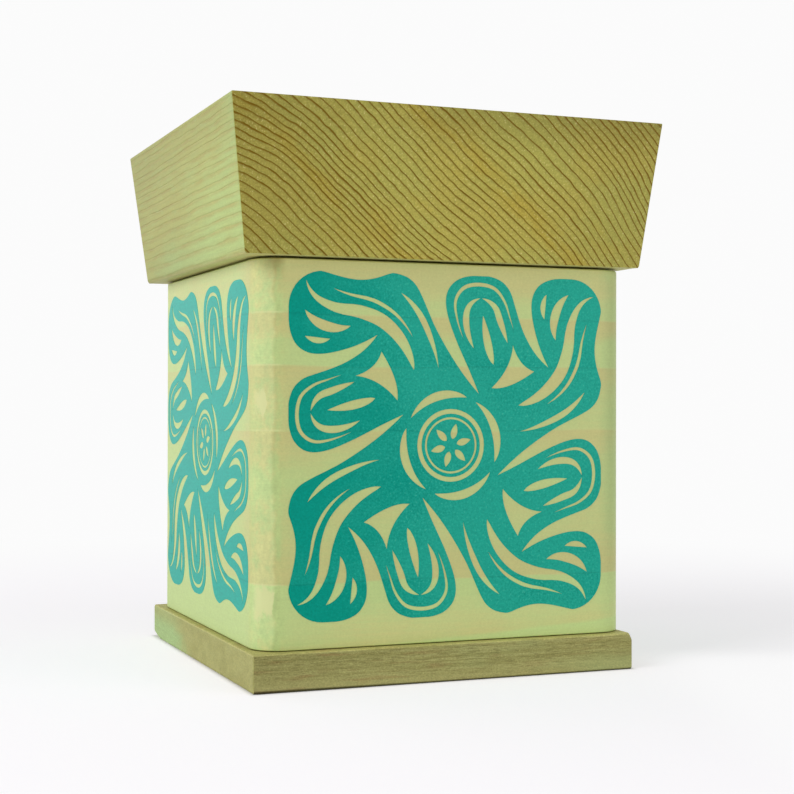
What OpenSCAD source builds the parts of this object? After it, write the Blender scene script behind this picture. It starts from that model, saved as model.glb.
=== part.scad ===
// Bentwood box: sides bent from one plank, a pegged base board and a flared lid that lifts off.
// The origin is under the middle of the base board. +Z is up and the front faces -Y. Sizes are in millimetres.

/* [Sides] */
// Width of the box from left to right, outside the plank
box_w = 140; // [116:1:200]
// Depth of the box from front to back, outside the plank
box_d = 136; // [116:1:200]
// Height of the plank
plank_h = 132.5; // [100:0.1:200]
// Thickness of the plank
plank_t = 9.5; // [8:0.5:12]
// Outside radius of the three bent corners
bend_r = 10.4; // [8:0.2:15]
// Wood left whole outside each kerf
kerf_skin = 3.2; // [2:0.1:4]
// Width of a kerf once the corner is bent
kerf_w = 0.6; // [0.4:0.1:1.2]
// Lip left outside the rabbet at the jointed corner
joint_lip = 4; // [3:0.5:5]
// Play between the two ends of the plank
joint_gap = 0.25; // [0.15:0.05:0.4]
// Rounding of the jointed corner
joint_r = 2.5; // [1:0.5:3]
// Distance of the plank to the right of the base board's and lid's middle
side_shift = 1.1; // [-1.3:0.1:1.3]

/* [Lid] */
// Height of the lid above the plank
lid_h = 52.1; // [30:0.1:70]
// Overhang of the lid's foot at the left and right
lid_over_x = 4.4; // [1:0.1:8]
// Overhang of the lid's foot at the front and back
lid_over_y = 3.2; // [1:0.1:8]
// Further flare of the lid's top at the left and right
lid_flare_x = 6.3; // [0:0.1:12]
// Further flare of the lid's top at the front and back
lid_flare_y = 6; // [0:0.1:12]
// Depth of the plug that the lid's rabbet leaves
plug_h = 10; // [4:0.5:16]
// Play between the plug and the plank
plug_gap = 0.6; // [0.3:0.1:1.5]
// Eased edge round the lid
lid_ease = 1; // [0.4:0.1:2]

/* [Base] */
// Thickness of the base board's rim
base_t = 12.9; // [8:0.1:20]
// Overhang of the base board at the left and right
base_over_x = 1.4; // [1.3:0.1:6]
// Overhang of the base board at the front and back
base_over_y = 3.9; // [0:0.1:6]
// Height of the panel that stands up inside the plank
panel_h = 6; // [3:0.5:10]
// Play between the panel and the plank
panel_gap = 0.3; // [0.1:0.1:0.8]
// Eased edge round the base board
base_ease = 0.8; // [0.4:0.1:2]

/* [Pegs] */
// Diameter of a peg
peg_d = 4; // [3:0.2:5]
// Radial play round a peg
peg_gap = 0.05; // [0.02:0.01:0.1]
// Depth that a peg is driven past the piece it holds
peg_grip = 16; // [10:1:24]
// Depth of a peg's end below the surface
peg_recess = 0.3; // [0.2:0.1:1]
// Height left clear of pegs at the top of the jointed corner
peg_top = 12; // [8:1:30]
// Height left clear between the base pegs and the corner pegs
peg_space = 8; // [5:1:20]
// Distance of the outer base pegs from the inside corners
peg_inset = 22; // [15:1:40]
// Pegs in the jointed corner
corner_count = 6; // [3:1:8]
// Pegs along each side of the base board
base_count = 3; // [2:1:4]

/* [Print] */
// Thickness of the ink film
film_t = 0.1; // [0.1:0.05:0.3]
// Bare wood between the print and the bends
print_margin = 0.3; // [0.2:0.1:10]
// Least bare wood above and below the print
print_border = 6; // [5:0.5:20]
// Height of the print's middle above the plank's middle
print_lift = 2.3; // [-3:0.1:3]

/* [Hidden] */
sides = ["front", "right", "back", "left"];
half_w = box_w / 2;
half_d = box_d / 2;
inner_w = box_w - 2 * plank_t;
inner_d = box_d - 2 * plank_t;
plank_top = base_t + plank_h;
lid_top = plank_top + lid_h;
foot_w = box_w + 2 * lid_over_x;
foot_d = box_d + 2 * lid_over_y;
lid_w = foot_w + 2 * lid_flare_x;
lid_d = foot_d + 2 * lid_flare_y;
base_w = box_w + 2 * base_over_x;
base_d = box_d + 2 * base_over_y;
// Distance of each side's outer face from the middle, in the order of the list of sides
reach = [half_d, half_w, half_d, half_w];
span = [box_w, box_d, box_w, box_d];
kerf_depth = max(1, bend_r - (bend_r - plank_t) * sqrt(2) - kerf_skin);
corner_low = base_t + peg_grip + peg_space;
corner_step = (plank_top - peg_top - corner_low) / (corner_count - 1);
print_z = base_t + plank_h / 2 + print_lift;
bleed = 1;

// Width and height of the print on one side: as wide as the flat between the bends
function print_size(k) = min(span[k] - 2 * bend_r - 2 * print_margin, plank_h - 2 * print_border);

function corner_peg(i) = str("corner_peg_", i + 1);
function base_peg(k, i) = str("base_peg_", sides[k], "_", i + 1);

// A closed ring of eight points: a rectangle with its corners cut off, moved right by shift
function ring(w, d, cut, z, shift = 0) =
    [for (q = [[1, -1, 0], [1, 1, 1], [-1, 1, 0], [-1, -1, 1]]) for (first = [1, 0])
        let (a = (first == 1) == (q[2] == 0) ? cut : 0)
        [shift + q[0] * (w / 2 - a), q[1] * (d / 2 - (cut - a)), z]];

// A solid through a pile of such rings, from the lowest to the highest
module pile(rings) {
    n = 8;
    last = len(rings) - 1;
    polyhedron(
        points = [for (r = rings) each r],
        faces = concat(
            [[for (i = [0:n - 1]) i]],
            [[for (i = [0:n - 1]) last * n + n - 1 - i]],
            [for (j = [0:last - 1]) for (i = [0:n - 1])
                [j * n + i, j * n + n + i, j * n + n + (i + 1) % n, j * n + (i + 1) % n]]
        )
    );
}

// The outline of the plank from above: three bent corners and one jointed corner, at the back right
module rounded(w, d) {
    difference() {
        square([w, d], center = true);
        for (s = [[-1, -1, bend_r], [1, -1, bend_r], [-1, 1, bend_r], [1, 1, joint_r]])
            corner_waste(s[0], s[1], w, d, s[2]);
    }
}

module corner_waste(sx, sy, w, d, r) {
    translate([sx * (w / 2 - r), sy * (d / 2 - r)])
        difference() {
            translate([sx > 0 ? 0 : -r - bleed, sy > 0 ? 0 : -r - bleed])
                square(r + bleed);
            circle(r, $fn = 64);
        }
}

// A kerf closed by the bend: a slit from the inside corner with a round end
module kerf(sx, sy) {
    translate([sx * inner_w / 2, sy * inner_d / 2])
        rotate(atan2(sy, sx)) {
            translate([-bleed, -kerf_w / 2])
                square([kerf_depth + bleed, kerf_w]);
            translate([kerf_depth, 0])
                circle(kerf_w, $fn = 24);
        }
}

// The seam between the plank's rabbeted end and its square end
module joint_seam() {
    lip_x = half_w - joint_lip;
    step_y = half_d - plank_t;
    translate([lip_x - joint_gap, step_y - joint_gap])
        square([joint_gap, plank_t + joint_gap + bleed]);
    translate([half_w - plank_t - bleed, step_y - joint_gap])
        square([plank_t - joint_lip + bleed, joint_gap]);
}

// What belongs to the plank is drawn about the plank's own middle
module on_sides() {
    translate([side_shift, 0, 0])
        children();
}

module base_peg_at(k, i) {
    run = span[k] / 2 - plank_t - peg_inset;
    rotate(90 * k)
        translate([-run + 2 * run * i / (base_count - 1), plank_t / 2 - reach[k], 0])
            children();
}

module corner_peg_at(i) {
    translate([half_w, half_d - plank_t / 2, corner_low + i * corner_step])
        rotate([0, -90, 0])
            children();
}

module peg_holes() {
    for (k = [0:3])
        for (i = [0:base_count - 1])
            base_peg_at(k, i)
                translate([0, 0, -bleed])
                    cylinder(h = base_t + peg_grip + 2 * bleed, r = peg_d / 2 + peg_gap, $fn = 32);
    for (i = [0:corner_count - 1])
        corner_peg_at(i)
            translate([0, 0, -bleed])
                cylinder(h = joint_lip + peg_grip + 2 * bleed, r = peg_d / 2 + peg_gap, $fn = 32);
}

module side_plank() {
    color([0.80, 0.82, 0.56])
        difference() {
            translate([0, 0, base_t])
                linear_extrude(plank_h)
                    difference() {
                        rounded(box_w, box_d);
                        square([inner_w, inner_d], center = true);
                        kerf(-1, -1);
                        kerf(1, -1);
                        kerf(-1, 1);
                        joint_seam();
                    }
            peg_holes();
        }
}

module base_board() {
    e = base_ease;
    panel_w = inner_w - 2 * panel_gap;
    panel_d = inner_d - 2 * panel_gap;
    panel_top = base_t + panel_h;
    color([0.55, 0.53, 0.31])
        difference() {
            pile([
                ring(base_w - 2 * e, base_d - 2 * e, e, 0),
                ring(base_w, base_d, e, e),
                ring(base_w, base_d, e, base_t - e),
                ring(base_w - 2 * e, base_d - 2 * e, e, base_t),
                ring(panel_w, panel_d, e, base_t, side_shift),
                ring(panel_w, panel_d, e, panel_top - e, side_shift),
                ring(panel_w - 2 * e, panel_d - 2 * e, e, panel_top, side_shift)
            ]);
            on_sides()
                peg_holes();
        }
}

module lid() {
    e = lid_ease;
    plug_w = inner_w - 2 * plug_gap;
    plug_d = inner_d - 2 * plug_gap;
    plug_low = plank_top - plug_h;
    color([0.62, 0.57, 0.32])
        pile([
            ring(plug_w - 2 * e, plug_d - 2 * e, e, plug_low, side_shift),
            ring(plug_w, plug_d, e, plug_low + e, side_shift),
            ring(plug_w, plug_d, e, plank_top, side_shift),
            ring(foot_w - 2 * e, foot_d - 2 * e, e, plank_top),
            ring(foot_w, foot_d, e, plank_top + e),
            ring(lid_w, lid_d, e, lid_top - e / 2),
            ring(lid_w - e, lid_d - e, e, lid_top)
        ]);
}

module peg(length) {
    color([0.70, 0.62, 0.42])
        translate([0, 0, peg_recess])
            cylinder(h = length - peg_recess, r = peg_d / 2, $fn = 32);
}

// Curves of the printed design: a smooth run through points, with corners where runs meet.
// No chord is longer than its limit or leaves its curve by more than the slack.
curve_chord = 6;
curve_slack = 0.015;
function glide(a, b, c, d, t) =
    0.5 * (2 * b + (c - a) * t + (2 * a - 5 * b + 4 * c - d) * t * t + (3 * b - a - 3 * c + d) * t * t * t);
// The point that carries a run on past its end, bent as the end is
function past(a, b, c) = 3 * a - 3 * b + c;
function before(p, i) = i > 0 ? p[i - 1] : past(p[0], p[1], p[2]);
function after(p, i) = let (n = len(p) - 1) i < n - 1 ? p[i + 2] : past(p[n], p[n - 1], p[n - 2]);
function bend_at(p, i) = let (u = p[i + 1] - before(p, i), v = after(p, i) - p[i])
    acos(max(-1, min(1, u * v / (norm(u) * norm(v))))) * PI / 180;
function steps(p, i, chord) = let (far = norm(p[i + 1] - p[i]))
    max(2, ceil(far / chord), ceil(sqrt(far * bend_at(p, i) / (8 * curve_slack))));
function run(p, chord = curve_chord) =
    [for (i = [0:len(p) - 2]) let (n = steps(p, i, chord)) for (k = [0:n - 1])
        glide(before(p, i), p[i], p[i + 1], after(p, i), k / n)];
function outline(runs) = [for (r = runs) each run(r)];

// A line that swells from a point, follows a route and thins to a point.
// A lean below 1 puts its widest place nearer to the start. Its chords suit its width.
function heading(p, i) = p[min(i + 1, len(p) - 1)] - p[max(i - 1, 0)];
function beside(p, i) = [-heading(p, i).y, heading(p, i).x] / norm(heading(p, i));
function gone(p, i) = i == 0 ? 0 : gone(p, i - 1) + norm(p[i] - p[i - 1]);
function fat(p, i, lean) = pow(sin(180 * pow(gone(p, i) / gone(p, len(p) - 1), lean)), 0.85) / 2;
function swell(route, width, lean = 1) =
    let (
        chord = gone(route, len(route) - 1) / PI * sqrt(16 * curve_slack / width),
        p = concat(run(route, chord), [route[len(route) - 1]]),
        n = len(p) - 1
    )
    concat(
        [p[0]],
        [for (i = [1:n - 1]) p[i] + beside(p, i) * fat(p, i, lean) * width],
        [p[n]],
        [for (i = [1:n - 1]) p[n - i] - beside(p, n - i) * fat(p, n - i, lean) * width]
    );
function disc(r) = [for (a = [0:9:351]) r * [cos(a), sin(a)]];

module ringed(outer, inner) {
    difference() {
        polygon(disc(outer));
        polygon(disc(inner));
    }
}

// The bare shapes in one quarter of the whorl
module bare_quarter() {
    // Long channel between this quarter's feather and the next quarter's wave
    polygon(outline([
        [
            [-22.5, 58.1], [-19, 57.7], [-15.6, 56.5], [-12.6, 53.8], [-9.8, 48.6],
            [-6.4, 41.2], [-1.6, 33], [4, 25], [10.5, 17.5]
        ],
        [
            [10.5, 17.5], [6.6, 26.2], [2.6, 34.4], [-0.7, 42.6], [-1.9, 48.6],
            [-1, 53], [2, 56.2], [6, 57.7], [10, 58.1], [13, 58.4]
        ]
    ]));
    // Short channel between the feather and the wave
    polygon(outline([
        [
            [12.5, 58.1], [16, 57.6], [19.6, 56], [22.4, 52.8], [24, 48.4],
            [25.8, 43], [28.2, 37.4], [32, 31.6], [37.2, 26.8]
        ],
        [
            [37.2, 26.8], [34, 33.2], [31.8, 39.8], [30.6, 46.2], [31, 51.4],
            [33.6, 55.4], [38, 57.5], [43, 58.1], [46, 58.4]
        ]
    ]));
    // Waist in the wave's back
    polygon(outline([
        [
            [58.1, 49], [57.8, 46], [56.8, 42], [55.8, 37.4], [55.4, 33],
            [55.8, 29], [56.7, 25.6], [57.7, 22.8], [58.1, 20.5]
        ],
        [[58.1, 20.5], [60, 34], [58.1, 49]]
    ]));
    // The wave's bold line, its fine companion and the line along its foot
    polygon(swell([
        [25.5, 13.6], [34.5, 17.5], [41.5, 24.5], [44.8, 33], [46, 41.5], [49.4, 48.6], [55, 52]
    ], 4.6, 0.8));
    polygon(swell([[36.5, 14], [44, 20], [48.6, 28], [50.4, 36.4], [52.4, 42.6]], 1.3));
    polygon(swell([[26, 4.6], [35, 7], [44.5, 11.6], [51.5, 18.4]], 2.2, 1.2));
    // Drops behind the wave
    polygon(swell([[40, 36.4], [39.2, 42], [41, 48], [45, 52.4]], 3.4));
    polygon(swell([[35.6, 43.6], [35, 48], [36.4, 52.4]], 2));
    // Feather: a line round its tip, two barbs and a slit
    polygon(swell([
        [4.8, 36], [2.2, 43.4], [1.7, 49.4], [4.8, 53.8], [10.4, 55.1],
        [16.4, 53.8], [20.2, 49.4], [22.2, 44], [23.8, 39.4]
    ], 1.3));
    polygon(swell([[8.6, 33], [5.8, 40.5], [6.4, 47], [11, 50.4]], 2.4));
    polygon(swell([[21.4, 35], [18.6, 42.4], [16.4, 47.6], [11.6, 50.4]], 2.4));
    polygon(swell([[16, 27.6], [13.8, 35], [12, 44.6]], 3, 0.8));
    // Wedge between the feather and the wave
    polygon(outline([
        [[15.2, 19.6], [22.5, 20.6], [31.6, 25.4]],
        [[31.6, 25.4], [26.6, 28.6], [23.4, 34.6]],
        [[23.4, 34.6], [21, 26.6], [15.2, 19.6]]
    ]));
    // Crescent beside the flower
    polygon(swell([for (a = [-20:13:58]) 17.4 * [cos(a), sin(a)]], 3, 0.9));
}

// The design, four waves and four feathers round a small flower, on a field that is scaled to each side
field_w = 116;
field_r = 12;
module design() {
    flat = field_w - 2 * field_r;
    difference() {
        union() {
            square([field_w, flat], center = true);
            square([flat, field_w], center = true);
            for (sx = [-1, 1])
                for (sy = [-1, 1])
                    translate([sx, sy] * flat / 2)
                        polygon(disc(field_r));
        }
        for (k = [0:3])
            rotate(90 * k)
                bare_quarter();
        ringed(12.4, 10.8);
        ringed(9.6, 8.9);
        for (k = [0:5])
            rotate(60 * k + 15)
                polygon(swell([[2.2, 0], [5, 0], [7.6, 0]], 2.4, 0.8));
    }
}

module face_print(k) {
    color([0.06, 0.58, 0.51])
        rotate(90 * k)
            translate([0, -reach[k], print_z])
                rotate([90, 0, 0])
                    linear_extrude(film_t)
                        scale(print_size(k) / field_w)
                            design();
}

on_sides() side_plank();
base_board();
lid();
for (k = [0:3])
    on_sides() face_print(k);
for (i = [0:corner_count - 1])
    on_sides() corner_peg_at(i) peg(joint_lip + peg_grip);
for (k = [0:3])
    for (i = [0:base_count - 1])
        on_sides() base_peg_at(k, i) peg(base_t + peg_grip);
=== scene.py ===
import math

import bmesh
import bpy
from mathutils import Matrix, Vector


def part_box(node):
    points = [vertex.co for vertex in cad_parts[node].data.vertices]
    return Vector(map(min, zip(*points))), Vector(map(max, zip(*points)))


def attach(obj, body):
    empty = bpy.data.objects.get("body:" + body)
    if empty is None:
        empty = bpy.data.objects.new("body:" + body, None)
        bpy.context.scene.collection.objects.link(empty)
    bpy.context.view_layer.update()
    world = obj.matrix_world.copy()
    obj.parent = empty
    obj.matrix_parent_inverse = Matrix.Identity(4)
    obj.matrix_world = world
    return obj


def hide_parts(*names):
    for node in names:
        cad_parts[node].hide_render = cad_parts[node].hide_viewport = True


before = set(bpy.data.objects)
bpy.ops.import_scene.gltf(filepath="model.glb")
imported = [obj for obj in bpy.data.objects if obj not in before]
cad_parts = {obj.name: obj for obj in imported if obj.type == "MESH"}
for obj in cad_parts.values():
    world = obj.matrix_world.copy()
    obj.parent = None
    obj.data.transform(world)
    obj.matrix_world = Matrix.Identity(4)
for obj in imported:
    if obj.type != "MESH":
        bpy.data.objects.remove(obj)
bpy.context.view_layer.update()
scene = bpy.context.scene
print("frame loaded:", len(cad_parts), "nodes")

plankLow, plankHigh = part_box("side_plank")
sidesMiddle = (plankLow.x + plankHigh.x) / 2
hair = 1e-5  # in metres, points closer than this are level with each other


# Small helpers for meshes

def mm(*sizes):
    return Vector(sizes) / 1000


def linear(r, g, b):
    # a colour as it reads on screen, 0 to 255, made linear
    def one(c):
        c = c / 255
        return c / 12.92 if c <= 0.04045 else ((c + 0.055) / 1.055) ** 2.4
    return (one(r), one(g), one(b), 1.0)


def toObject(name, bm):
    mesh = bpy.data.meshes.new(name)
    bmesh.ops.recalc_face_normals(bm, faces=bm.faces)
    bm.to_mesh(mesh)
    bm.free()
    obj = bpy.data.objects.new(name, mesh)
    scene.collection.objects.link(obj)
    return obj


def block(bm, low, high):
    made = bmesh.ops.create_cube(bm, size=1)["verts"]
    bmesh.ops.scale(bm, vec=high - low, verts=made)
    bmesh.ops.translate(bm, vec=(low + high) / 2, verts=made)
    return made


def bevelEdges(bm, edges, width, segments):
    bmesh.ops.bevel(bm, geom=edges, offset=width / 1000, offset_type="OFFSET", affect="EDGES",
                    segments=segments, profile=0.5, material=-1)


def raiseTongue(bm, face, middle, size, height):
    # draws a smaller rectangle inside a face and pushes it out along Z
    bmesh.ops.inset_region(bm, faces=[face], thickness=0.005, use_even_offset=True)
    for v in face.verts:
        v.co.x = middle + math.copysign(size[0] / 2, v.co.x - middle)
        v.co.y = math.copysign(size[1] / 2, v.co.y)
    pushed = bmesh.ops.extrude_face_region(bm, geom=[face])["geom"]
    ends = [g for g in pushed if isinstance(g, bmesh.types.BMVert)]
    bmesh.ops.translate(bm, vec=Vector((0, 0, height)), verts=ends)
    bmesh.ops.delete(bm, geom=[face], context="FACES")


def cutAway(obj, bm):
    # takes the shapes in bm out of the piece
    cutter = toObject("cutter", bm)
    cut = obj.modifiers.new("cut", "BOOLEAN")
    cut.operation = "DIFFERENCE"
    cut.solver = "EXACT"
    cut.object = cutter
    graph = bpy.context.evaluated_depsgraph_get()
    mesh = bpy.data.meshes.new_from_object(obj.evaluated_get(graph))
    obj.modifiers.clear()
    obj.data = mesh
    bpy.data.objects.remove(cutter)


def easeEdges(obj, width, segments, weigh):
    # rounds the edges to which weigh gives a share of the width
    mesh = obj.data
    weights = mesh.attributes.new("bevel_weight_edge", "FLOAT", "EDGE")
    for edge in mesh.edges:
        a, b = (mesh.vertices[i].co for i in edge.vertices)
        weights.data[edge.index].value = weigh(a, b)
    ease = obj.modifiers.new("eased edges", "BEVEL")
    ease.limit_method = "WEIGHT"
    ease.width = width / 1000
    ease.segments = segments
    ease.profile = 0.5


def smoothSides(obj):
    obj.data.shade_smooth()
    obj.data.set_sharp_from_angle(angle=math.radians(40))
    flat = obj.modifiers.new("flat faces stay flat", "WEIGHTED_NORMAL")
    flat.keep_sharp = True


def settle(obj, body, node, material):
    obj.data.materials.clear()
    obj.data.materials.append(material)
    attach(obj, body)
    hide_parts(node)
    print("made", obj.name, len(obj.data.polygons), "faces")


# Shader sums are written as Python sums on wires

class Wire:
    def __init__(self, bench, socket):
        self.bench = bench
        self.socket = socket

    def calc(self, operation, *terms):
        return self.bench.node("ShaderNodeMath", {"operation": operation}, dict(enumerate(terms)))

    def __add__(self, other):
        return self.calc("ADD", self, other)

    def __radd__(self, other):
        return self.calc("ADD", other, self)

    def __sub__(self, other):
        return self.calc("SUBTRACT", self, other)

    def __rsub__(self, other):
        return self.calc("SUBTRACT", other, self)

    def __mul__(self, other):
        return self.calc("MULTIPLY", self, other)

    def __rmul__(self, other):
        return self.calc("MULTIPLY", other, self)

    def __truediv__(self, other):
        return self.calc("DIVIDE", self, other)

    def __pow__(self, other):
        return self.calc("POWER", self, other)

    def __neg__(self):
        return self.calc("MULTIPLY", self, -1)

    def __abs__(self):
        return self.calc("ABSOLUTE", self)

    def frac(self):
        return self.calc("FRACT", self)

    def most(self, other):
        return self.calc("MAXIMUM", self, other)

    def sine(self):
        return self.calc("SINE", self)

    def angle(self, other):
        return self.calc("ARCTAN2", self, other)

    def rise(self, low, high):
        # 0 below low, 1 above high, smooth between
        settings = {"interpolation_type": "SMOOTHSTEP", "clamp": True}
        sockets = {"Value": self, "From Min": low, "From Max": high}
        return self.bench.node("ShaderNodeMapRange", settings, sockets)

    def hill(self, start, top, end):
        # 0 at start and end, 1 at top
        return self.rise(start, top) * (1 - self.rise(top, end))


class Bench:
    # where one finish is put together
    def __init__(self, owner):
        owner.use_nodes = True
        self.owner = owner
        self.tree = owner.node_tree
        self.tree.nodes.clear()

    def node(self, kind, settings, sockets, output=0):
        made = self.tree.nodes.new(kind)
        for key, value in settings.items():
            if key == "stops":
                for place, _ in value[2:]:
                    made.color_ramp.elements.new(place)
                for stop, (place, shade) in zip(made.color_ramp.elements, value):
                    stop.position = place
                    stop.color = shade
            else:
                setattr(made, key, value)
        for key, value in sockets.items():
            if isinstance(value, Wire):
                self.tree.links.new(value.socket, made.inputs[key])
            else:
                made.inputs[key].default_value = value
        return Wire(self, made.outputs[output]) if made.outputs else made

    def split(self, vector):
        return [self.node("ShaderNodeSeparateXYZ", {}, {"Vector": vector}, axis) for axis in range(3)]

    def place(self):
        # the point on the piece, in millimetres
        spot = self.node("ShaderNodeTexCoord", {}, {}, "Object")
        return [axis * 1000 for axis in self.split(spot)]

    def facing(self):
        return self.split(self.node("ShaderNodeTexCoord", {}, {}, "Normal"))

    def noise(self, x, y, z, detail=2.0, roughness=0.5):
        spot = self.node("ShaderNodeCombineXYZ", {}, {"X": x, "Y": y, "Z": z})
        return self.node("ShaderNodeTexNoise", {"noise_dimensions": "3D"},
                         {"Vector": spot, "Scale": 1.0, "Detail": detail, "Roughness": roughness})

    def blend(self, share, a, b, mode="MIX"):
        return self.node("ShaderNodeMix", {"data_type": "RGBA", "blend_type": mode, "clamp_factor": True},
                         {0: share, 6: a, 7: b}, 2)

    def tint(self, colour, light):
        # colour made lighter or darker by a number near 1
        grey = self.node("ShaderNodeCombineColor", {}, {0: light, 1: light, 2: light})
        return self.blend(1.0, colour, grey, "MULTIPLY")

    def ramp(self, share, stops):
        shades = [(place, (tone, tone, tone, 1.0)) for place, tone in stops]
        colour = self.node("ShaderNodeValToRGB", {"stops": shades}, {"Fac": share})
        return self.node("ShaderNodeSeparateColor", {}, {"Color": colour})

    def done(self, colour, roughness, height, look):
        # look gives the gloss, and how deep the bumps are in mm
        bump = self.node("ShaderNodeBump", {},
                         {"Strength": 1.0, "Distance": look["bumps"] / 1000, "Height": height})
        skin = self.node("ShaderNodeBsdfPrincipled", {},
                         {"Base Color": colour, "Roughness": roughness, "Normal": bump,
                          "Specular IOR Level": look["gloss"]})
        self.node("ShaderNodeOutputMaterial", {}, {"Surface": skin})
        return self.owner


# Lid: one thick cedar block with end grain at the front and back

lid = {
    "flare": (6.3, 6.0), "plug": (119.8, 115.8), "plugDeep": 10.0,
    # widest easing of the edges, and the share of it that each kind of edge gets
    "ease": 1.6, "easeCuts": 4,
    "easeAt": {"plugFoot": 0.35, "plugCorners": 0.2, "flare": 0.3, "plugRoot": 0.0, "sideFoot": 0.85,
               "endFoot": 0.15},
    # growth rings lean this far from upright, about this height; gaps between them from the low left up
    "lean": 50.43, "about": 171.5, "ringsFrom": -73.765, "ringsEvery": 7.765,
    "ringGaps": (3.2, 3.0, 3.0, 2.75, 2.33, 1.96, 2.03, 2.7, 2.79, 2.52, 2.59, 2.55, 2.76, 3.57, 2.94,
                 2.27, 2.25, 2.3, 2.4),
    "sway": ((0.7, 0.078, 0.84), (0.19, 0.21, 1.21)),
    "early": linear(190, 177, 84), "earlyGreen": linear(184, 180, 90), "late": linear(120, 90, 0),
    "amber": linear(188, 158, 48), "amberAt": (-31.0, 11.0), "speck": linear(224, 214, 160),
    "side": linear(186, 186, 107), "sideStripe": linear(172, 157, 84), "sideGreen": linear(178, 198, 124),
    "sideFaint": linear(176, 178, 103), "foot": linear(188, 178, 120),
    "rough": 0.5, "bumps": 0.1, "gloss": 0.12,
}


def lidRings(wood, look, x, y, z):
    # signed distance in mm to the nearest ring line, how far through its ring the point is,
    # and where it is across and along the rings
    lean = math.radians(look["lean"])
    up = z - look["about"]
    across = x * math.cos(lean) + up * math.sin(lean)
    along = up * math.cos(lean) - x * math.sin(lean)
    (deep1, wave1, start1), (deep2, wave2, start2) = look["sway"]
    sway = (along * wave1 - across * 0.012 + start1).sine() * deep1
    sway = sway + (along * wave2 + start2).sine() * deep2
    flatter = (-50 - x).most(0) ** 2 * 0.006 * z.rise(148, 190)
    steeper = (x - 42).most(0) ** 2 * 0.006 * (1 - z.rise(148, 198))
    drift = (wood.noise(along / 30, across / 90, y / 300) - 0.5) * 2 + flatter + steeper
    kink = (wood.noise(along / 9, across / 14, y / 160) - 0.5) * 1.2
    quiver = (wood.noise(along / 3, across / 3, y / 60) - 0.5) * 0.4
    ripple = (wood.noise(y / 22, across / 8, along / 40, 3) - 0.5) * 1.4
    total = look["ringsEvery"] * len(look["ringGaps"])
    share = (across + sway + drift + kink + quiver + ripple - look["ringsFrom"]) / total
    counts = [0.0]
    for gap in look["ringGaps"]:
        counts.append(counts[-1] + look["ringsEvery"] / gap)
    places = [i / len(look["ringGaps"]) for i in range(len(counts))]
    ring = wood.ramp(share, [(p, c / counts[-1]) for p, c in zip(places, counts)]) * counts[-1]
    middles = [(i + 0.5) / len(look["ringGaps"]) for i in range(len(look["ringGaps"]))]
    gap = wood.ramp(share, [(p, g / 5) for p, g in zip(middles, look["ringGaps"])]) * 5
    phase = (ring + 0.5).frac()
    return (phase - 0.5) * gap, phase, across, along


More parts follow.
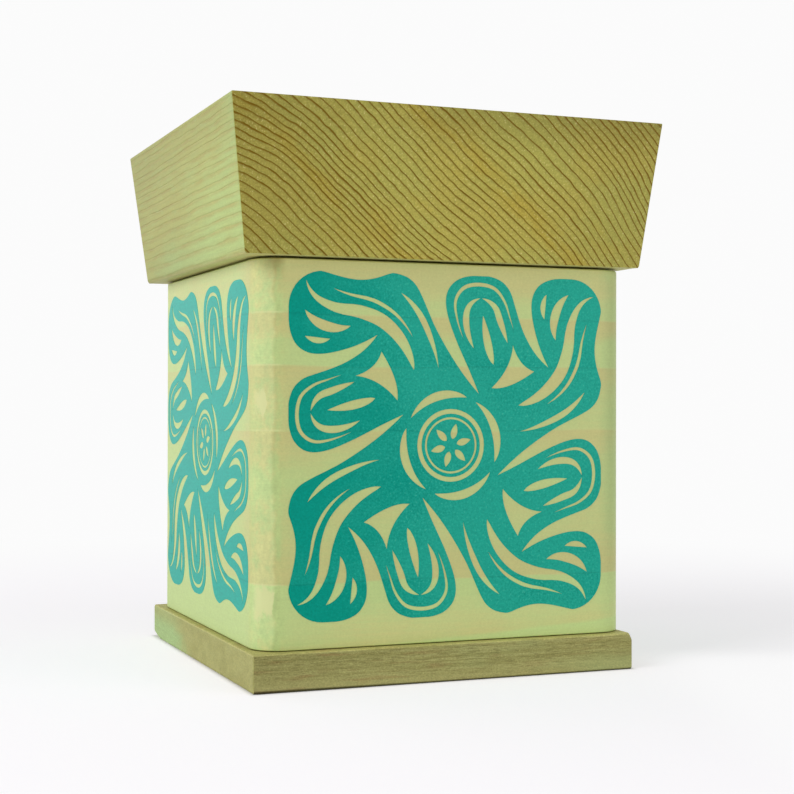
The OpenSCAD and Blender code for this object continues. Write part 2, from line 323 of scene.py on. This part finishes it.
def lidWood(look):
    wood = Bench(bpy.data.materials.new("lidWood"))
    x, y, z = wood.place()
    ny, nz = wood.facing()[1:]
    off, phase, across, along = lidRings(wood, look, x, y, z)
    firm = wood.noise(along / 40, across / 1.6, y / 90).rise(0.3, 0.7)
    line = (off - firm * 0.12).rise(-0.55, 0.0) * (1 - (off - firm * 0.25).rise(0.0, 0.3))
    dusk = phase.rise(0.0, 0.5) * (1 - phase.rise(0.5, 0.62))
    bold = wood.noise(along / 18, across / 3, y / 90).rise(0.25, 0.7) * 0.2 + firm * 0.16 + 0.74
    # end grain
    green = wood.noise(x / 34, y / 60, z / 26).rise(0.42, 0.62)
    end = wood.blend(green * 0.6, look["early"], look["earlyGreen"])
    amber = wood.noise(along / 24, across / 6, y / 50, 3).rise(0.6, 0.78) * 0.2
    stain = wood.noise(along / 13, across / 4, y / 50, 3).rise(0.36, 0.62)
    for place in look["amberAt"]:
        amber = amber + (1 - abs(across - place).rise(1.0, 7.0)) * stain * 0.42
    end = wood.blend(amber, end, look["amber"])
    rays = wood.noise(along / 0.4, across / 2.6, y / 3)
    pores = wood.noise(x / 0.6, y / 0.9, z / 0.6, 2, 0.8)
    scratch = wood.noise(x / 2.4, y / 2, z / 0.4, 2, 0.7)
    # painted shade on the end grain: darker at the left end, a little darker at the right end and along the
    # top
    paintedTopShade = (z - x * 0.05).rise(178, 197) * (x.rise(-30, 0) * 0.18 + 0.06)
    heartAndShade = 0.745 + x.rise(-90, -5) * 0.235 - x.rise(15, 80) * 0.14 - paintedTopShade
    # painted light: the underside of the lid is made lighter
    under = 1 + (-nz).rise(0.3, 0.9) * 0.3
    end = wood.tint(end, heartAndShade * (0.27 + rays * 0.3 + pores * 1.0 + scratch * 0.2 - dusk * 0.1))
    end = wood.blend(pores.rise(0.6, 0.74) * 0.65, end, look["speck"])
    end = wood.blend(line * bold, end, look["late"])
    # long grain
    fibre = wood.noise(x / 0.5, y / 16, z / 0.5, 3)
    cloud = wood.noise(x / 40, y / 45, z / 22)
    low = (cloud - z * 0.008 - y * 0.003).rise(-1.1, -0.5)
    side = wood.blend(low * 0.9, look["side"], look["sideGreen"])
    side = wood.blend(y.rise(10, 75) * 0.6 * cloud.rise(0.3, 0.6), side, look["sideFaint"])
    thin = off.rise(-1.5, 0.0) * (1 - off.rise(0.1, 1.3))
    fade = wood.noise(across / 2, y / 22, along / 30, 3).rise(0.3, 0.7)
    side = wood.blend(thin * (fade * 0.2 + 0.06) + dusk * (fade * 0.34 + 0.16), side, look["sideStripe"])
    flake = wood.noise(x / 1.4, y / 9, z / 1.2, 3, 0.6)
    side = wood.blend(flake.rise(0.5, 0.7) * 0.35, side, look["sideGreen"])
    side = wood.blend((-nz).rise(0.3, 0.9) * 0.8, side, look["foot"])
    fuzz = wood.noise(x / 0.5, y / 1.6, z / 0.5, 2, 0.7)
    # painted light and shade on the long grain: lighter towards the front and low down, darker towards the
    # back and the top
    paintedNearLight = 1.05 - y.rise(-85, 85) * 0.11 - z.rise(176, 197) * 0.07
    paintedNearLight = paintedNearLight + (-y).rise(-20, 50) * (1 - z.rise(165, 192)) * 0.11
    side = wood.tint(side, (0.67 + fibre * 0.2 + fuzz * 0.26) * under * paintedNearLight)
    colour = wood.blend(abs(ny).rise(0.55, 0.8), side, end)
    return wood.done(colour, look["rough"], fibre * 0.3 + pores * 0.4 - line, look)


def makeLid(look):
    low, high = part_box("lid")
    seat = low.z + look["plugDeep"] / 1000
    plugEdge = sidesMiddle + look["plug"][0] / 2000
    step = 0.001
    flare = mm(*look["flare"], 0)
    bm = bmesh.new()
    verts = block(bm, Vector((low.x, low.y, seat)) + flare, high - flare)
    top = [v for v in verts if v.co.z > seat + step]
    spread = Vector((high.x / (high.x - flare.x), high.y / (high.y - flare.y), 1))
    bmesh.ops.scale(bm, vec=spread, verts=top)
    under = min(bm.faces, key=lambda f: f.calc_center_median().z)
    raiseTongue(bm, under, sidesMiddle, mm(*look["plug"]), low.z - seat)
    obj = toObject("lid_block", bm)

    def weigh(a, b):
        share = look["easeAt"]
        if max(a.z, b.z) < seat - step:
            return share["plugFoot"]
        if min(a.z, b.z) < seat - step:
            return share["plugCorners"]
        if max(a.z, b.z) > seat + step:
            return share["flare"]
        if max(abs(a.x), abs(b.x)) < plugEdge + step:
            return share["plugRoot"]
        return share["sideFoot"] if abs(a.x - b.x) < step else share["endFoot"]

    easeEdges(obj, look["ease"], look["easeCuts"], weigh)
    smoothSides(obj)
    settle(obj, "lid", "lid", lidWood(look))


makeLid(lid)


# Side plank: bent over a kerf at three corners, jointed at the back right

plank = {
    "thick": 9.5, "bend": 10.4, "bendCuts": 14, "jointRound": 2.5, "jointCuts": 5,
    "topGap": 0.7, "topEase": 0.7, "topCuts": 4, "footGap": 0.3, "footEase": 0.4, "footCuts": 3,
    "kerf": (0.6, 6.4), "lip": 4.0, "seam": 0.25, "rough": 0.42, "bumps": 0.06, "gloss": 0.22,
    "green": linear(198, 217, 144), "tan": linear(207, 202, 135), "pale": linear(231, 231, 170),
    # cool is a painted sheen, laid on a bend before its crest
    "bare": linear(214, 192, 146), "cool": linear(184, 212, 174), "paintedLidShadow": linear(150, 128, 66),
    # a left-hand bend has painted light up to its crest and painted shade past it, angles in radians
    "crest": (1.04, 1.2), "crestLight": 0.12, "crestShade": 0.2,
    # share of tan from the foot to the top, with a jump at each growth line
    "bands": ((0.0, 0.25), (0.114, 0.05), (0.167, 0.0), (0.17, 0.9), (0.212, 0.85), (0.288, 0.52),
              (0.355, 0.5), (0.427, 0.25), (0.5, 0.6), (0.552, 0.95), (0.5555, 0.45), (0.642, 0.57),
              (0.7215, 0.95), (0.7253, 0.12), (0.783, 0.2), (0.816, 0.8), (0.8536, 1.0), (0.857, 0.3),
              (0.889, 0.33), (0.937, 0.8), (1.0, 0.75)),
    "lines": (35.5, 86.6, 108.8, 126.3),
}
peg = {"across": 4.1, "cuts": 24, "baseDeep": 29.9, "cornerDeep": 21.0, "inset": 22.0,
       "cornerFrom": 36.9, "cornerTop": 12.0, "cornerCount": 6}


def plankTone(wood, look, x, y, z):
    # how tan the plank is, in bands that run right round the box, and the height in those bands
    level = z + (wood.noise(x / 60, y / 60, z / 60) - 0.5) * 3
    share = (level - plankLow.z * 1000) / ((plankHigh.z - plankLow.z) * 1000)
    return wood.ramp(share, look["bands"]), level


def plankWood(look):
    wood = Bench(bpy.data.materials.new("plankWood"))
    x, y, z = wood.place()
    nx, ny = wood.facing()[:2]
    tan, level = plankTone(wood, look, x, y, z)
    cloud = wood.noise(x / 26, y / 26, z / 16, 3)
    streak = wood.noise(x / 30, y / 30, z / 1.1, 3)
    fibre = wood.noise(x / 9, y / 9, z / 0.35, 2)
    # the crest of a bend: 0 on the left and right faces, a quarter turn on the front and back
    turn = abs(ny).angle(abs(nx)) + (wood.noise(x / 20, y / 20, z / 7, 4) - 0.5) * 0.38
    past = turn.rise(*look["crest"])
    bending = abs(nx * ny).rise(0.0, 0.45) * (-x).rise(0, 40)
    greener = turn.hill(1.1, 1.25, 1.5) * bending * 0.4
    mottle = (wood.noise(x / 3.5, y / 3.5, z / 5, 4, 0.6) - 0.5) * (bending + 0.15)
    fuzz = wood.noise(x / 0.8, y / 2, z / 0.6, 2, 0.7)
    wrinkle = wood.noise(x / 1.1, y / 1.1, z / 1.6, 3, 0.6)
    # the front is more tan low down, with painted light there too, and green along its foot and at its
    # right end, with painted shade at that end; the left side is greener
    warmAndPaintedLight = x.rise(-85, -20) * (-y).rise(50, 66) * (1 - z.rise(18, 36))
    cool = (-x).rise(60, 68) * y.rise(-60, -40)
    far = x.rise(58, 66) * (-y).rise(45, 60) * (0.4 + z.rise(25, 70) * 0.6)
    wedge = (x * 0.055 + 14 - z).rise(-1.5, 1.0) * (-y).rise(50, 66)
    share = tan - greener + warmAndPaintedLight * 0.42 - cool * 0.35 - wedge * 0.8 - far * 0.35
    share = share + (cloud - 0.5) * 0.7 + (streak - 0.5) * 0.4 + mottle * 1.8
    colour = wood.blend(share.rise(0.0, 1.0), look["green"], look["tan"])
    # painted sheen and light before the crest of a left-hand bend, painted shade past it
    colour = wood.blend(bending * (1 - past) * 0.15, colour, look["cool"])
    step = bending * (look["crestLight"] - past * look["crestShade"]) + 1
    grain = streak * 0.08 + fibre * 0.05 + fuzz * 0.22 + (wrinkle - 0.5) * (bending * 0.12 + 0.1)
    # painted light at the front's foot, painted shade at its right end
    colour = wood.tint(colour, (0.825 + grain + mottle * 0.36 + warmAndPaintedLight * 0.09) * step * (1 - far * 0.2))
    for line in look["lines"]:
        seen = level.hill(line - 0.6, line, line + 0.6) * (bending * 0.4 + 0.05)
        colour = wood.blend(seen, colour, look["pale"])
    # rubbed patches beside the crest, on the left-hand bends
    wornAndSheen = z.hill(16, 30, 39) + z.hill(84, 96, 107) * (1 - turn.rise(0.75, 0.95)) * 0.85
    patch = turn.rise(0.25, 0.6) * (1 - turn.rise(1.1, 1.16)) * (-x).rise(0, 40)
    rubbed = (wornAndSheen * 1.2 + wood.noise(x / 4, y / 4, z / 9, 4, 0.65) * 1.6 - 1.3).rise(0.08, 0.36) * patch
    colour = wood.blend(rubbed * 0.78, colour, look["pale"])
    # painted shadow under the lid: a tan-brown band at the top of the left-hand bends
    paintedLidShadow = (z + mottle * 8).rise(136, 145.5) * turn.hill(0.5, 1.2, 1.57) * (-x).rise(0, 40) * 0.55
    colour = wood.blend(paintedLidShadow, colour, look["paintedLidShadow"])
    low = plankLow.z * 1000 + 0.8
    frayed = wood.noise(x / 1.3, y / 1.3, z / 3).rise(0.64, 0.7) * (low - z).rise(0, 0.3)
    colour = wood.blend(frayed, colour, look["pale"])
    # bare wood inside, from just within the inner faces
    skin = 0.2
    halfX, halfY = (side * 500 - look["thick"] + skin for side in (plankHigh - plankLow).xy)
    inside = (halfX - abs(x - sidesMiddle * 1000)).rise(0, skin) * (halfY - abs(y)).rise(0, skin)
    colour = wood.blend(inside, colour, wood.tint(look["bare"], 0.86 + streak * 0.14 + fibre * 0.14))
    height = streak * 0.4 + fibre * 0.15 + wrinkle * 0.3 + rubbed * 0.6
    return wood.done(colour, look["rough"] + fibre * 0.1, height, look)


def drill(bm, spot, turn, deep):
    start = 1.0  # outside the wood
    radius = peg["across"] / 2000
    where = Matrix.Translation(spot) @ turn @ Matrix.Translation(mm(0, 0, (deep - start) / 2))
    bmesh.ops.create_cone(bm, cap_ends=True, segments=peg["cuts"], radius1=radius, radius2=radius,
                          depth=(deep + start) / 1000, matrix=where)


def basePegHoles(bm):
    half = (plankHigh - plankLow) / 2
    for side in range(4):
        reach = half[1 - side % 2] - plank["thick"] / 2000
        run = half[side % 2] - (plank["thick"] + peg["inset"]) / 1000
        for along in (-run, 0, run):
            spot = Matrix.Rotation(side * math.pi / 2, 3, "Z") @ Vector((along, -reach, 0))
            drill(bm, spot + Vector((sidesMiddle, 0, 0)), Matrix.Identity(4), peg["baseDeep"])


def cornerPegHoles(bm):
    first, last = peg["cornerFrom"] / 1000, plankHigh.z - peg["cornerTop"] / 1000
    for i in range(peg["cornerCount"]):
        height = first + (last - first) * i / (peg["cornerCount"] - 1)
        spot = Vector((plankHigh.x, plankHigh.y - plank["thick"] / 2000, height))
        drill(bm, spot, Matrix.Rotation(-math.pi / 2, 4, "Y"), peg["cornerDeep"])


def makePlank(look):
    thick = look["thick"] / 1000
    past = Vector((0, 0, 0.005))  # the cutters stand past both ends
    over = 0.001
    inLow = Vector((plankLow.x + thick, plankLow.y + thick, plankLow.z)) - past
    inHigh = Vector((plankHigh.x - thick, plankHigh.y - thick, plankHigh.z)) + past
    bm = bmesh.new()
    block(bm, plankLow + mm(0, 0, look["footGap"]), plankHigh - mm(0, 0, look["topGap"]))
    upright = [e for e in bm.edges if abs(e.verts[0].co.z - e.verts[1].co.z) > hair]
    jointed = [e for e in upright if e.verts[0].co.x > 0 and e.verts[0].co.y > 0]
    bevelEdges(bm, [e for e in upright if e not in jointed], look["bend"], look["bendCuts"])
    bevelEdges(bm, [e for e in bm.edges if e in jointed], look["jointRound"], look["jointCuts"])
    top = max(v.co.z for v in bm.verts) - hair
    topRim = [e for e in bm.edges if min(v.co.z for v in e.verts) > top]
    bevelEdges(bm, topRim, look["topEase"], look["topCuts"])
    foot = min(v.co.z for v in bm.verts) + hair
    footRim = [e for e in bm.edges if max(v.co.z for v in e.verts) < foot]
    bevelEdges(bm, footRim, look["footEase"], look["footCuts"])
    obj = toObject("side_plank_bent", bm)
    inner = bmesh.new()
    block(inner, inLow, inHigh)
    cutAway(obj, inner)
    gap, reach = look["kerf"]
    for x, y in ((inLow.x, inLow.y), (inHigh.x, inLow.y), (inLow.x, inHigh.y)):
        slit = bmesh.new()
        slitLow = Vector((-over, -gap / 2000, inLow.z))
        slitHigh = Vector((reach / 1000, gap / 2000, inHigh.z))
        made = block(slit, slitLow, slitHigh)
        outward = Matrix.Rotation(math.atan2(y, x - sidesMiddle), 4, "Z")
        bmesh.ops.transform(slit, matrix=Matrix.Translation((x, y, 0)) @ outward, verts=made)
        cutAway(obj, slit)
    seam, lipX = look["seam"] / 1000, plankHigh.x - look["lip"] / 1000
    for start, end in (((lipX - seam, inHigh.y - seam), (lipX, plankHigh.y + over)),
                       ((inHigh.x - over, inHigh.y - seam), (lipX - seam / 2, inHigh.y))):
        slit = bmesh.new()
        block(slit, Vector((*start, inLow.z)), Vector((*end, inHigh.z)))
        cutAway(obj, slit)
    holes = bmesh.new()
    basePegHoles(holes)
    cornerPegHoles(holes)
    cutAway(obj, holes)
    smoothSides(obj)
    settle(obj, "box", "side_plank", plankWood(look))


makePlank(plank)


# Base board: grain from left to right, a raised panel inside the plank

base = {
    "panel": (120.4, 116.4), "panelHigh": 6.0, "ease": 1.4, "easeCuts": 4, "rimShare": 0.6,
    "wornCorner": 2.4, "wornRun": 11.0, "rough": 0.55, "bumps": 0.08, "gloss": 0.08,
    "olive": linear(155, 150, 92), "light": linear(182, 177, 116), "dark": linear(121, 115, 65),
    "ruddy": linear(158, 130, 84), "endTan": linear(183, 180, 117), "endShade": linear(160, 154, 94),
    "endGreen": linear(174, 200, 138),
}


def baseWood(look):
    wood = Bench(bpy.data.materials.new("baseWood"))
    x, y, z = wood.place()
    nx, nz = wood.facing()[::2]
    # long grain
    long = wood.noise(x / 40, y / 1.3, z / 0.9, 4, 0.6)
    thread = wood.noise(x / 5, y / 0.5, z / 0.34, 3, 0.7)
    saw = wood.noise(x / 0.8, y / 0.8, z / 0.5, 2, 0.8)
    cloud = wood.noise(x / 40, y / 30, z / 12)
    side = wood.blend(long.rise(0.38, 0.72) * 0.7, look["olive"], look["light"])
    side = wood.blend(thread.rise(0.47, 0.63) * 0.6, side, look["dark"])
    side = wood.blend((8 - z).rise(0, 9) * (0.95 - x.rise(-50, 20) * 0.35), side, look["light"])
    side = wood.blend(saw.rise(0.6, 0.74) * 0.4, side, look["light"])
    ruddy = wood.noise(x / 20, y / 9, z / 1.8, 3).rise(0.52, 0.7)
    side = wood.blend(ruddy * (1 - x.rise(-50, 60) * 0.6) * 0.5, side, look["ruddy"])
    shade = 0.95 + x.rise(-75, -20) * 0.11 + x.rise(10, 40) * 0.03
    # painted light: the base's upward faces are made lighter
    paintedTopLight = 1 + nz.rise(0.3, 0.9) * 0.55
    # painted shadow: a dark line along the front foot of the base, wider towards the left
    paintedContactShadow = (1.1 - z + (-x).rise(-10, 70) * 0.4).rise(0.2, 0.9) * (-y).rise(69.0, 70.6)
    side = wood.tint(side, shade * (0.48 + saw * 1.0) * paintedTopLight * (1 - paintedContactShadow * 0.8))
    mossy = cloud.rise(0.55, 0.8) * 0.2 + x.rise(40, 62) * (9 - z).rise(0, 6) * 0.22
    side = wood.blend(mossy * (1 - paintedContactShadow), side, look["endGreen"])
    # end grain
    blot = wood.noise(x / 5, y / 8, z / 4, 4, 0.6)
    slant = wood.noise(x / 3, (y + z * 3) / 9, (z - y * 0.12) / 0.5, 3, 0.6)
    end = wood.blend(blot.rise(0.35, 0.75) * 0.7, look["endTan"], look["endShade"])
    end = wood.blend(slant.rise(0.42, 0.66) * 0.5, end, look["endShade"])
    damp = (y - z * 1.2 + (blot - 0.5) * 30).rise(5, 35) * (0.9 - z.rise(5, 12) * 0.6)
    end = wood.blend(damp, end, look["endGreen"])
    end = wood.tint(end, (0.33 + saw * 0.8 + slant * 0.5) * paintedTopLight)
    colour = wood.blend(abs(nx).rise(0.55, 0.8), side, end)
    return wood.done(colour, look["rough"], long * 0.5 + thread * 0.5 + saw * 0.3, look)


def makeBase(look):
    low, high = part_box("base_board")
    rim = high.z - look["panelHigh"] / 1000
    bm = bmesh.new()
    block(bm, low, Vector((high.x, high.y, rim)))
    # worn: the upper corner at the front right and the low corner at the back left, a long way forward
    wornAndSheen = [v for v in bm.verts if v.co.x * v.co.y < 0 and (v.co.x > 0) == (v.co.z > rim / 2)]
    cut = bmesh.ops.bevel(bm, geom=wornAndSheen, offset=look["wornCorner"] / 1000, offset_type="OFFSET",
                          affect="VERTICES", segments=1, profile=0.5, material=-1)
    for v in cut["verts"]:
        if v.co.x < 0 and 0 < v.co.y < high.y - hair:
            v.co.y = high.y - look["wornRun"] / 1000
    top = max(bm.faces, key=lambda f: f.calc_center_median().z)
    raiseTongue(bm, top, sidesMiddle, mm(*look["panel"]), high.z - rim)
    bmesh.ops.remove_doubles(bm, verts=bm.verts, dist=1e-6)
    obj = toObject("base_plate", bm)
    holes = bmesh.new()
    basePegHoles(holes)
    cutAway(obj, holes)

    def onRim(v):
        return abs(abs(v.x) - high.x) < hair or abs(abs(v.y) - high.y) < hair

    def weigh(a, b):
        backLeft = max(a.x, b.x) < low.x + hair and min(a.y, b.y) > high.y - hair
        return 1.0 if backLeft else look["rimShare"] if onRim(a) and onRim(b) else 0.0

    easeEdges(obj, look["ease"], look["easeCuts"], weigh)
    smoothSides(obj)
    settle(obj, "box", "base_board", baseWood(look))


makeBase(base)


# Prints: a film of teal ink on each side of the plank

ink = {
    # painted light: a lighter teal for specks of sheen, and a paler copy of the ink for the left side
    "teal": linear(36, 173, 152), "deep": linear(0, 156, 138), "wornAndSheen": linear(86, 188, 164),
    "side": linear(54, 190, 176), "rough": 0.34, "bumps": 0.03, "gloss": 0.06,
}


def tealInk(look):
    film = Bench(bpy.data.materials.new("tealInk"))
    x, y, z = film.place()
    tan, level = plankTone(film, plank, x, y, z)
    streak = film.noise(x / 24, y / 24, z / 0.9, 3)
    tooth = film.noise(x / 0.5, y / 1.5, z / 0.5, 2)
    cloud = film.noise(x / 30, y / 30, z / 30, 3)
    grain = film.noise(x / 0.8, y / 2.6, z / 0.8, 2, 0.7)
    # painted sheen: the ink is lighter and more speckled towards the middle and right of the front, and
    # paler on the left side
    paintedSheen = x.rise(-55, 0)
    even = (cloud + (tan - 0.5) * 0.2 + (grain - 0.5) * (0.4 + paintedSheen * 0.3) + paintedSheen * 0.5 - 0.28).rise(0.2, 0.8)
    colour = film.blend(even, look["deep"], look["teal"])
    colour = film.blend((-x).rise(66, 68.5) * 0.6, colour, look["side"])
    colour = film.tint(colour, 0.78 + tooth * 0.34 + streak * 0.08 + (grain - 0.5) * (0.36 + paintedSheen * 0.12))
    colour = film.blend(grain.rise(0.58, 0.78) * (0.02 + paintedSheen * 0.43), colour, look["wornAndSheen"])
    for line in plank["lines"]:
        colour = film.tint(colour, 1 - level.hill(line - 0.6, line, line + 0.4) * 0.12)
    return film.done(colour, look["rough"] + tooth * 0.1, tooth * 0.6 + streak * 0.4, look)


pegLook = {"heartAndShade": linear(196, 172, 118), "line": linear(150, 118, 70),
           "rough": 0.65, "bumps": 0.1, "gloss": 0.1}


def pegWood(look):
    wood = Bench(bpy.data.materials.new("pegWood"))
    x, y, z = wood.place()
    pores = wood.noise(x / 0.3, y / 0.3, z / 0.3, 2)
    rings = wood.noise(x / 1.2, y / 1.2, z / 1.2, 3)
    colour = wood.blend(rings.rise(0.35, 0.65), look["line"], look["heartAndShade"])
    colour = wood.tint(colour, 0.85 + pores * 0.3)
    return wood.done(colour, look["rough"], pores, look)


def dress(prefix, material):
    names = [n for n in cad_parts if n.startswith(prefix)]
    for name in names:
        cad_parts[name].material_slots[0].material = material
    print("dressed", len(names), "nodes:", prefix)


dress("print_", tealInk(ink))
pegMaterial = pegWood(pegLook)
dress("base_peg_", pegMaterial)
dress("corner_peg_", pegMaterial)


# Stage: pale sweep, soft lamps and the photograph's camera

stage = {
    "sweep": linear(246, 246, 246), "sweepHalf": 6, "faint": linear(205, 201, 207), "glow": 0.53,
    "near": 0.16, "far": 0.55, "sky": 0.37, "white": 0.968,
    # in mm and degrees: half the base board, and a painted brighter patch of floor in front of the box on
    # its right
    "foot": (71.4, 71.9), "brightTurn": 21.758, "brightFront": (-14, 30), "brightRight": (90, 128),
    "bright": 0.7, "lampsFace": (0, 0, 0.1),
    "key": {"spot": (-1.76, -0.45, 1.14), "size": 1.2, "watts": 20.5},
    "fill": {"spot": (0.88, -1.0, 0.28), "size": 0.88, "watts": 6.1},
    "rim": {"spot": (-0.9, 1.4, 0.5), "size": 1.6, "watts": 5.2},
    "camera": (-219.61, -570.32, 95.71), "yaw": 21.758, "pitch": 0.266, "roll": 0.098, "lens": 71.37,
}


def whiteRays(bench):
    # 1 for what the camera sees, straight, in a gloss or through glass
    kinds = ("Is Camera Ray", "Is Glossy Ray", "Is Transmission Ray")
    seen, mirrored, through = (bench.node("ShaderNodeLightPath", {}, {}, kind) for kind in kinds)
    return seen.most(mirrored).most(through)


def makeSweep(look):
    bm = bmesh.new()
    bmesh.ops.create_grid(bm, x_segments=1, y_segments=1, size=look["sweepHalf"])
    obj = toObject("sweep", bm)
    paper = Bench(bpy.data.materials.new("sweepPaper"))
    x, y = paper.place()[:2]
    away = ((x * x + y * y) ** 0.5 / 1000).rise(look["near"], look["far"])
    turn = math.radians(look["brightTurn"])
    # painted light: a brighter patch of floor in front of the box on its right
    front = (x * -math.sin(turn) - y * math.cos(turn)).rise(*look["brightFront"])
    right = (x * math.cos(turn) - y * math.sin(turn)).rise(*look["brightRight"])
    away = away.most(front * right * look["bright"])
    matt = paper.node("ShaderNodeBsdfDiffuse", {}, {"Color": look["sweep"]})
    faint = paper.node("ShaderNodeBsdfDiffuse", {}, {"Color": look["faint"]})
    glow = paper.node("ShaderNodeEmission", {}, {"Color": (1, 1, 1, 1), "Strength": look["glow"]})
    both = paper.node("ShaderNodeAddShader", {}, {0: faint, 1: glow})
    # no glow under the box
    clear = (abs(x) - look["foot"][0]).most(abs(y) - look["foot"][1]).rise(-0.6, 2.0)
    seen = paper.node("ShaderNodeMixShader", {}, {0: clear * whiteRays(paper), 1: matt, 2: both})
    blank = paper.node("ShaderNodeEmission", {}, {"Color": (1, 1, 1, 1), "Strength": look["white"]})
    whole = paper.node("ShaderNodeMixShader", {}, {0: away * whiteRays(paper), 1: seen, 2: blank})
    paper.node("ShaderNodeOutputMaterial", {}, {"Surface": whole})
    obj.data.materials.append(paper.owner)


def makeWorld(look):
    scene.world = bpy.data.worlds.new("studio")
    sky = Bench(scene.world)
    dim = sky.node("ShaderNodeBackground", {}, {"Color": (1, 1, 1, 1), "Strength": look["sky"]})
    white = sky.node("ShaderNodeBackground", {}, {"Color": (1, 1, 1, 1), "Strength": look["white"]})
    both = sky.node("ShaderNodeMixShader", {}, {0: whiteRays(sky), 1: dim, 2: white})
    sky.node("ShaderNodeOutputWorld", {}, {"Surface": both})


def makeLamp(name, look):
    lamp = bpy.data.lights.new(name, "AREA")
    lamp.shape = "SQUARE"
    lamp.size = look["size"]
    lamp.energy = look["watts"]
    obj = bpy.data.objects.new(name, lamp)
    obj.location = look["spot"]
    aim = Vector(stage["lampsFace"]) - Vector(look["spot"])
    obj.rotation_mode = "QUATERNION"
    obj.rotation_quaternion = aim.to_track_quat("-Z", "Y")
    scene.collection.objects.link(obj)


def makeCamera(look):
    yaw, pitch, roll = (math.radians(look[k]) for k in ("yaw", "pitch", "roll"))
    data = bpy.data.cameras.new("camera")
    data.lens = look["lens"]
    data.sensor_width = 36
    data.clip_start = 0.01
    obj = bpy.data.objects.new("camera", data)
    level = Matrix.Rotation(-yaw, 4, "Z") @ Matrix.Rotation(math.pi / 2 + pitch, 4, "X")
    obj.matrix_world = Matrix.Translation(mm(*look["camera"])) @ level @ Matrix.Rotation(roll, 4, "Z")
    scene.collection.objects.link(obj)
    scene.camera = obj


makeSweep(stage)
makeWorld(stage)
makeLamp("key", stage["key"])
makeLamp("fill", stage["fill"])
makeLamp("rim", stage["rim"])
makeCamera(stage)
scene.view_settings.view_transform = "Standard"
print("stage set")
